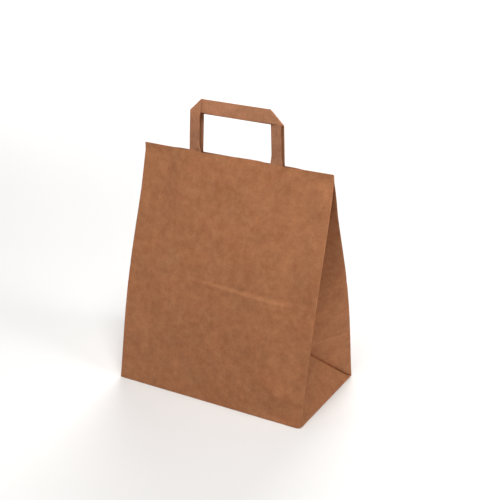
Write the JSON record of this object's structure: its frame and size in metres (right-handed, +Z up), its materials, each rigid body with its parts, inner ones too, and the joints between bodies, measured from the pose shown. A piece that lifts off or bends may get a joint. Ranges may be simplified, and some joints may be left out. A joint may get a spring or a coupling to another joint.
{
  "type": "paper carrier bag",
  "caption": "Brown kraft paper carrier bag standing open on its folded block bottom, with gusseted sides and flat folded paper handles for carrying shopping or takeaway food.",
  "frame": {"origin": "middle of the rectangular footprint, on the surface that the bag stands on", "axes": "+Z up from the folded bottom to the handles, +X along the wide panels to the right seen from the front, -Y out of the front panel"},
  "size_m": [0.25, 0.1442, 0.3503],
  "materials": {
    "bag_sheet": "matt, brown kraft, machine-glazed with fine ribs",
    "front_strip": "matt, brown kraft, folded in plies",
    "front_patch_sheet": "matt, brown kraft",
    "back_strip": "matt, brown kraft, folded in plies",
    "back_patch_sheet": "matt, brown kraft"
  },
  "bodies": {
    "root": {"bag_body": "bag_sheet", "front_handle": "front_strip", "front_patch": "front_patch_sheet", "back_handle": "back_strip", "back_patch": "back_patch_sheet"}
  },
  "joints": []
}
